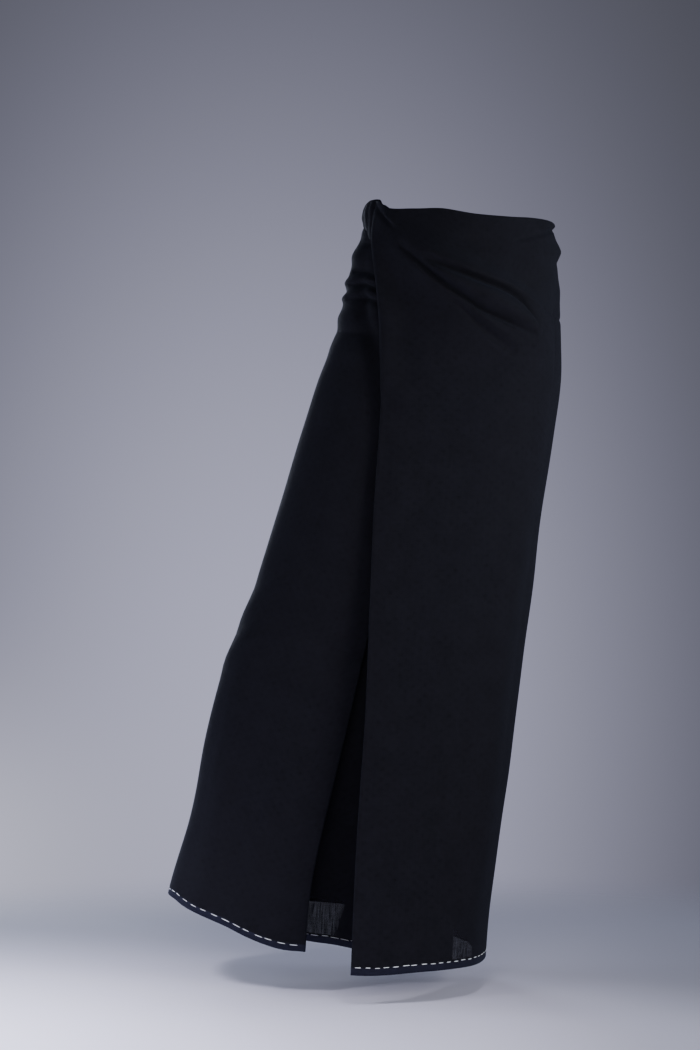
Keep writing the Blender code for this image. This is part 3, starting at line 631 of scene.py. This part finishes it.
def buildTuck():
    # a strip over the waist edge: down the outside to the lower edge, a half ellipse over the top, and down
    # the inside; pleats run over it, and it dips where it meets the flap
    w = waistTuck
    crownAt, lowerAt = smoothCurve(*w["crown"]), smoothCurve(*w["lowerEdge"])
    t = np.r_[np.linspace(-1, 0, w["rows"], endpoint=False),
              np.linspace(0, 1, w["bendRows"], endpoint=False), np.linspace(1, 2, w["rows"] // 2)]
    share, t = np.meshgrid(np.linspace(0, 1, w["columns"] + 1), t)
    outside, bend, inside = np.clip(-t, 0, 1), np.clip(t, 0, 1), np.clip(t - 1, 0, 1)
    z = np.zeros(share.shape)
    for _ in range(cloth["passes"]):
        angle = w["fromAngle"] + (edgeAngle("leftFold", z) - w["edgeGap"] - w["fromAngle"]) * share
        side = crownAt(angle) - w["tall"] * (1 - np.sin(np.pi * bend))
        z = side - outside * np.maximum(side - lowerAt(angle), w["leastFlank"]) - inside * w["inside"]
    across = np.cos(np.pi * bend)
    least, grown = w["endFullness"], smoothStep((angle - w["fromAngle"]) / w["fullOver"])
    out = w["middle"] + w["halfWide"] * (least + (1 - least) * grown) * across
    tongue = smoothStep((angle - w["tongueFrom"]) / w["tongueOver"])
    settle, power = (start + more * tongue for start, more in (w["settle"], w["settlePower"]))
    out = out - settle * outside ** power
    pleat = w["pleatDepth"] * (0.5 - 0.5 * np.cos(2 * np.pi * w["pleats"] * share ** w["pleatSpread"]))
    dip = w["edgeDip"] * smoothStep((share - w["dipFrom"]) / (1 - w["dipFrom"]))
    out = out + (pleat - dip) * across + w["insideLean"] * inside
    below = outerRelief(angle + 360.0, z) + w["standoff"]
    held = 0.5 * (out + below + np.hypot(out - below, w["standoffSoft"]))
    out = np.where(t < 0, held, out)
    first = np.where(t < 0, 0.0, (held - out)[t[:, 0] >= 0][0])      # no step where the bend begins
    out = out + first * (1 - bend) * (t >= 0)
    points = stack3(ringPoint(angle, z, "wrap", -out), z)[::-1]
    return gridMesh("waistTuck", points, clothUv(points) + w["weaveShift"])


tuck = buildTuck()
print("tuck rolled")


def node(tree, kind, **inputs):
    made = tree.nodes.new(kind)
    for name, value in inputs.items():
        setattr(made, name, value)
    return made


def maths(tree, operation, *values):
    made = node(tree, "ShaderNodeMath", operation=operation)
    for socket, value in zip(made.inputs, values):
        if isinstance(value, (int, float)):
            socket.default_value = value
        else:
            tree.links.new(value, socket)
    return made.outputs[0]


def remap(tree, value, source, target=(0.0, 1.0), kind="SMOOTHSTEP"):
    # a linked value taken from one range to another
    made = node(tree, "ShaderNodeMapRange", interpolation_type=kind)
    for end, number in zip(("From Min", "From Max", "To Min", "To Max"), (*source, *target)):
        made.inputs[end].default_value = number
    tree.links.new(value, made.inputs["Value"])
    return made.outputs[0]


def weighted(tree, total, *terms):
    # a total to which each term adds its value times its weight
    for value, weight in terms:
        total = maths(tree, "MULTIPLY_ADD", value, weight, total)
    return total


def axes(tree, vector):
    split = node(tree, "ShaderNodeSeparateXYZ")
    tree.links.new(vector, split.inputs[0])
    return tuple(split.outputs)


def newMaterial(name, finish):
    material = bpy.data.materials.new(name)
    material.use_nodes = True
    shader = material.node_tree.nodes["Principled BSDF"]
    for socket, value in finish.items():
        shader.inputs[socket].default_value = value
    return material, material.node_tree, shader


cotton = {
    "navy": (0.0042, 0.0042, 0.0061), "navyLight": (0.0113, 0.0114, 0.0168),
    # the hem band's two colours are painted lighter and bluer than the cloth: painted light from below
    "litBandNavy": (0.01, 0.0106, 0.0195), "litBandLight": (0.0205, 0.0213, 0.0385),
    "meanTone": 0.42,       # between the two, with the woven figure, the slubs and the mottling round it
    "finish": {"Roughness": 0.88, "Specular IOR Level": 0.06, "Sheen Weight": 0.022, "Sheen Roughness": 0.5,
               "Sheen Tint": (0.5, 0.62, 1.0, 1.0)},
    "threadPitch": 0.00075,
    "bandSoft": 0.0014,     # the painted light band's edge fades over this, up and down
    "diamondWide": 0.0172, "diamondTall": 0.0138, "diamondTone": 0.07,
    "diamondComes": (6.0, 1.5),     # the specks' part in the diamonds, and what is taken off it
    "slubTone": 0.44, "mottleTone": 0.46, "cloudTone": 0.42,
    # noises: scale along and up the cloth, and shift
    "grain": {"mottle": ((150.0, 150.0, 1), 5.0), "cloud": ((34.0, 34.0, 1), 9.0),
              "warp": ((900, 26, 1), 0.0), "weft": ((26, 900, 1), 3.0),
              "warpGaps": ((560, 34, 1), 7.0), "weftGaps": ((80, 480, 1), 11.0)},
    # light let through by the single cloth near the hem: its outer face, in streaks, and its inner face
    "openLeast": 0.015, "openInside": 0.5, "openGaps": (0.37, 0.73), "warpShare": 0.75,
    # for each patch its most open streaks, how far they lean to the upright, and where it closes and where
    # it is open, up the cloth, counted with a slant, and along it
    "openFlap": {"most": 0.27, "lean": 0.0, "slant": 0.8, "up": (0.169, 0.164), "along": (0.1775, 0.1735)},
    "openUnder": {"most": 0.23, "lean": 0.22, "slant": 0.0, "up": (0.064, 0.058), "along": (0.216, 0.205)},
    "bumpHeight": 0.0004, "bumpStrength": 0.35, "bumpThread": 0.35, "bumpSlub": 1.2, "bumpDiamond": 0.25,
}


def streaks(tree, vector, name):
    # one of the cotton's noises, about 0.5 in the middle
    scale, shift = cotton["grain"][name]
    mapping = node(tree, "ShaderNodeMapping")
    mapping.inputs["Scale"].default_value = scale
    mapping.inputs["Location"].default_value = (shift, shift, 0)
    noise = node(tree, "ShaderNodeTexNoise")
    noise.inputs["Scale"].default_value = 1.0
    noise.inputs["Detail"].default_value = 2.0
    tree.links.new(vector, mapping.inputs["Vector"])
    tree.links.new(mapping.outputs[0], noise.inputs["Vector"])
    return noise.outputs["Fac"]


def wave(tree, kind, value, length):
    # a sine or cosine of a length along the cloth
    return maths(tree, kind, maths(tree, "MULTIPLY", value, 2 * np.pi / length))


def blend(tree, share, dark, light):
    # a mix of two colours, given or linked
    mix = node(tree, "ShaderNodeMix", data_type="RGBA")
    tree.links.new(share, mix.inputs[0])
    for socket, colour in ((mix.inputs[6], dark), (mix.inputs[7], light)):
        if isinstance(colour, tuple):
            socket.default_value = (*colour, 1)
        else:
            tree.links.new(colour, socket)
    return mix.outputs[2]


def makeCotton(name, thin=None):
    # the cloth's finish; thin is None or one of the open patches
    material, tree, shader = newMaterial(name, cotton["finish"])
    flat = node(tree, "ShaderNodeUVMap", uv_map="cloth").outputs["UV"]
    u, v, _ = axes(tree, flat)
    # uneven dye, in specks a few threads wide and in slow clouds
    mottle, cloud = (maths(tree, "SUBTRACT", streaks(tree, flat, name), 0.5) for name in ("mottle", "cloud"))
    # small woven diamonds: two cosines multiplied, a lattice with every second row set off by half, that
    # comes and goes with the specks
    diamonds = maths(tree, "MULTIPLY", wave(tree, "COSINE", u, cotton["diamondWide"]),
                     wave(tree, "COSINE", v, cotton["diamondTall"]))
    gain, less = cotton["diamondComes"]
    diamonds = maths(tree, "MULTIPLY", maths(tree, "MAXIMUM", diamonds, 0.0),
                     weighted(tree, -less, (mottle, gain)))
    # slubs: thick places drawn out along the warp and along the weft
    slub = maths(tree, "ADD", streaks(tree, flat, "warp"), streaks(tree, flat, "weft"))
    slub = maths(tree, "MULTIPLY", slub, 0.5)
    # threads: over and under, a product of two sines at the thread pitch
    thread = maths(tree, "MULTIPLY", wave(tree, "SINE", u, 2 * cotton["threadPitch"]),
                   wave(tree, "SINE", v, 2 * cotton["threadPitch"]))
    tone = weighted(tree, cotton["meanTone"], (diamonds, cotton["diamondTone"]),
                    (maths(tree, "SUBTRACT", slub, 0.5), cotton["slubTone"]),
                    (mottle, cotton["mottleTone"]), (cloud, cotton["cloudTone"]))
    # the doubled band of the hem is painted a little lighter and bluer: painted light, as from the floor
    # below
    top, soft = stitching["litBandTop"], cotton["bandSoft"]
    band = remap(tree, v, (top + soft, top - soft))
    plain = blend(tree, tone, cotton["navy"], cotton["navyLight"])
    litBandColour = blend(tree, tone, cotton["litBandNavy"], cotton["litBandLight"])
    tree.links.new(blend(tree, band, plain, litBandColour), shader.inputs["Base Color"])
    height = weighted(tree, 0.0, (thread, cotton["bumpThread"]), (slub, cotton["bumpSlub"]),
                      (diamonds, cotton["bumpDiamond"]))
    bump = node(tree, "ShaderNodeBump")
    bump.inputs["Strength"].default_value = cotton["bumpStrength"]
    bump.inputs["Distance"].default_value = cotton["bumpHeight"]
    tree.links.new(height, bump.inputs["Height"])
    tree.links.new(bump.outputs[0], shader.inputs["Normal"])
    if thin:
        # open between the threads, in long streaks of thin yarn, and closed again further up and further on
        upright = node(tree, "ShaderNodeCombineXYZ")
        tree.links.new(weighted(tree, u, (v, thin["lean"])), upright.inputs[0])
        tree.links.new(v, upright.inputs[1])
        warpGaps, weftGaps = (streaks(tree, upright.outputs[0], name) for name in ("warpGaps", "weftGaps"))
        gaps = weighted(tree, 0.0, (warpGaps, cotton["warpShare"]), (weftGaps, 1 - cotton["warpShare"]))
        letThrough = remap(tree, gaps, cotton["openGaps"], (cotton["openLeast"], thin["most"]), "LINEAR")
        rise = weighted(tree, v, (u, thin["slant"]))
        for way, ends in ((rise, thin["up"]), (u, thin["along"])):
            letThrough = maths(tree, "MULTIPLY", letThrough, remap(tree, way, ends))
        tree.links.new(maths(tree, "SUBTRACT", 1.0, letThrough), shader.inputs["Alpha"])
    return material


threadLook = {"white": (0.8, 0.82, 0.88), "grey": (0.3, 0.31, 0.36), "leastWhite": 0.75,
              "grain": 900.0, "finish": {"Roughness": 0.7}}


def makeThread():
    material, tree, shader = newMaterial("whiteThread", threadLook["finish"])
    noise = node(tree, "ShaderNodeTexNoise")
    noise.inputs["Scale"].default_value = threadLook["grain"]
    tree.links.new(node(tree, "ShaderNodeTexCoord").outputs["Object"], noise.inputs["Vector"])
    whiteness = remap(tree, noise.outputs["Fac"], (0.0, 1.0), (threadLook["leastWhite"], 1.0), "LINEAR")
    shade = blend(tree, whiteness, threadLook["grey"], threadLook["white"])
    tree.links.new(shade, shader.inputs["Base Color"])
    return material


navyCotton = makeCotton("navyCotton")
thinFlap = makeCotton("thinCottonFlap", cotton["openFlap"])
thinUnder = makeCotton("thinCottonUnder", cotton["openUnder"])
thinInside = makeCotton("thinCottonInside")
thinInside.node_tree.nodes["Principled BSDF"].inputs["Alpha"].default_value = 1.0 - cotton["openInside"]
whiteThread = makeThread()
for piece in (outer, inner, tuck, *hems):
    if piece in (outer, inner):
        piece.data.materials.append(thinFlap if piece is outer else thinUnder)
        piece.data.materials.append(thinInside)
    piece.data.materials.append(navyCotton)
    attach(piece, "root")
stitches.data.materials.append(whiteThread)
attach(stitches, "root")

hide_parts("left_fold_outer", "back_panel", "right_fold_outer")
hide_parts("left_fold_return", "front_under_panel", "right_fold_return")
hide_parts("waist_tuck")

print("finishes and sheets set")

studio = {
    "camera": (-0.155, -3.22, -0.432), "lens": 80.0, "clipEnd": 50,
    "floorHeight": -1.06, "floorCentre": (-0.1, -0.9), "floorRadius": 1.95, "floorFade": 0.62,
    "floorHub": 0.001, "floorRings": 25, "floorSpokes": 96, "floorFinish": {"Roughness": 0.75},
    # the floor is pale, with painted light and shade in its colour: painted brightest at the front left,
    # painted darker to the back, and painted darker to the right in a fan from a point in front; its blue
    # tint is the light's colour painted in
    "floorLitPale": (0.66, 0.65, 0.81), "floorShadedBack": (0.5, 0.5, 0.61), "floorShadedRight": (0.4, 0.405, 0.51),
    "floorDepths": (0.0, 0.8), "fanFrom": (-0.155, -3.22), "fanSlopes": (0.045, 0.165),
    "lights": (
        # name, kind, place, aimed at, width and height or softness and cone, watts, colour
        ("sideRight", "AREA", (2.9, 0.3, 0.4), (0.0, 0.0, -0.4), 1.2, 1.8, 17.0, (0.78, 0.86, 1.0)),
        ("frontRight", "AREA", (1.2, -1.2, -0.36), (0.0, 0.0, -0.4), 0.6, 0.6, 14.5, (1.0, 0.98, 0.92)),
        ("frontLow", "AREA", (-0.3, -1.6, -0.42), (-0.1, 0.0, -0.4), 0.6, 0.6, 6.8, (1.0, 0.98, 0.92)),
        ("frontLeft", "AREA", (-1.6, -1.0, -0.7), (-0.3, 0.0, -0.75), 0.5, 0.5, 3.6, (0.95, 0.97, 1.0)),
        ("sideLeft", "AREA", (-2.9, 0.6, 0.2), (-0.2, 0.0, -0.5), 1.0, 1.8, 24.0, (0.8, 0.86, 1.0)),
        ("rimLeft", "AREA", (-1.3, 2.7, 0.0), (-0.2, 0.0, -0.5), 0.8, 1.6, 40.0, (0.78, 0.85, 1.0)),
        ("keyRight", "SPOT", (1.9, -1.0, 0.5), (0.08, 0.0, -0.25), 0.2, 26.0, 118.0, (0.8, 0.89, 1.0)),
        ("floorLeft", "SPOT", (-0.85, -0.5, -0.16), (-0.85, -0.49, -1.06), 0.1, 100.0, 102.0,
         (0.93, 0.92, 1.0)),
        ("floorRight", "SPOT", (0.16, -0.56, 1.3), (0.1, -0.52, -1.06), 0.1, 28.0, 112.0,
         (0.93, 0.93, 1.0)),
    ),
    # the backdrop: soft pools of light all round, brightest low down, and a small one low at their left,
    # each with its turn, power, height and spread
    "backdropDark": (0.06, 0.061, 0.078), "backdropLight": (0.49, 0.49, 0.655),
    "lowLight": (0.64, 0.64, 0.79), "pools": 8,
    "pool": (0.035, 2.45, -0.095, 0.26), "lowPool": (0.19, 8.0, -0.14, 0.062),
}


def poolOfLight(tree, azimuth, height, row):
    # a cosine round the horizon raised to a power, times a bell over the height
    turn, power, middle, spread = row
    around = wave(tree, "COSINE", maths(tree, "ADD", azimuth, turn), 2 * np.pi / studio["pools"])
    around = weighted(tree, 0.5, (around, 0.5))
    level = maths(tree, "DIVIDE", maths(tree, "SUBTRACT", height, middle), spread)
    bell = maths(tree, "EXPONENT", maths(tree, "MULTIPLY", maths(tree, "MULTIPLY", level, level), -1.0))
    return maths(tree, "MULTIPLY", maths(tree, "POWER", around, power), bell)


def buildStudio():
    camera = placed("camera", bpy.data.cameras.new("camera"))
    camera.data.lens, camera.data.clip_end = studio["lens"], studio["clipEnd"]
    camera.location = studio["camera"]
    camera.rotation_euler = (np.pi / 2, 0, 0)
    bpy.context.scene.camera = camera
    for name, kind, place, target, width, height, watts, colour in studio["lights"]:
        data = bpy.data.lights.new(name, kind)
        data.energy, data.color = watts, colour
        if kind == "AREA":
            data.shape, data.size, data.size_y = "RECTANGLE", width, height
        else:
            data.shadow_soft_size, data.spot_size, data.spot_blend = width, np.radians(height), 1.0
        lamp = placed(name, data)
        aim = np.subtract(place, target)
        tilt = np.arccos(aim[2] / np.linalg.norm(aim))
        lamp.location = place
        lamp.rotation_euler = (tilt, 0, np.arctan2(aim[1], aim[0]) + np.pi / 2)
        lamp.visible_camera = False
    world = bpy.data.worlds.new("backdrop")
    bpy.context.scene.world = world
    world.use_nodes = True
    tree = world.node_tree
    x, y, height = axes(tree, node(tree, "ShaderNodeTexCoord").outputs["Generated"])
    azimuth = maths(tree, "ARCTAN2", x, y)
    glow = blend(tree, poolOfLight(tree, azimuth, height, studio["pool"]), studio["backdropDark"],
                 studio["backdropLight"])
    glow = blend(tree, poolOfLight(tree, azimuth, height, studio["lowPool"]), glow, studio["lowLight"])
    tree.links.new(glow, tree.nodes["Background"].inputs[0])


def buildFloor():
    # a disc whose edge fades out, on rings and spokes
    reach = np.linspace(studio["floorHub"], 1, studio["floorRings"]) * studio["floorRadius"]
    r, turn = np.meshgrid(reach, np.linspace(0, 2 * np.pi, studio["floorSpokes"] + 1)[:-1])
    x, y = studio["floorCentre"]
    z = np.full(r.shape, studio["floorHeight"])
    points = np.stack([x + r * np.cos(turn), y + r * np.sin(turn), z], -1)
    index = np.arange(r.size).reshape(r.shape)
    after = np.roll(index, -1, 0)
    quads = np.stack([index[:, :-1], index[:, 1:], after[:, 1:], after[:, :-1]], -1).reshape(-1, 4)
    mesh = bpy.data.meshes.new("floor")
    mesh.from_pydata(points.reshape(-1, 3).tolist(), [], quads.tolist())
    floor = placed("floor", mesh)
    material, tree, shader = newMaterial("paleFloorPaintedLight", studio["floorFinish"])
    place = node(tree, "ShaderNodeTexCoord").outputs["Object"]
    across, depth, _ = axes(tree, place)
    # painted light and shade: painted bright at the front, painted darker towards the back
    shade = blend(tree, remap(tree, depth, studio["floorDepths"]), studio["floorLitPale"], studio["floorShadedBack"])
    fanX, fanY = studio["fanFrom"]
    slope = maths(tree, "DIVIDE", maths(tree, "SUBTRACT", across, fanX),
                  maths(tree, "SUBTRACT", depth, fanY))
    # painted shade: darker to the right, in a fan from a point in front
    shade = blend(tree, remap(tree, slope, studio["fanSlopes"]), shade, studio["floorShadedRight"])
    tree.links.new(shade, shader.inputs["Base Color"])
    away = node(tree, "ShaderNodeVectorMath", operation="DISTANCE")
    away.inputs[1].default_value = (*studio["floorCentre"], studio["floorHeight"])
    tree.links.new(place, away.inputs[0])
    edge = studio["floorRadius"]
    fade = remap(tree, away.outputs["Value"], (edge, edge - studio["floorFade"]))
    tree.links.new(fade, shader.inputs["Alpha"])
    floor.data.materials.append(material)


buildStudio()
buildFloor()
print("studio set")
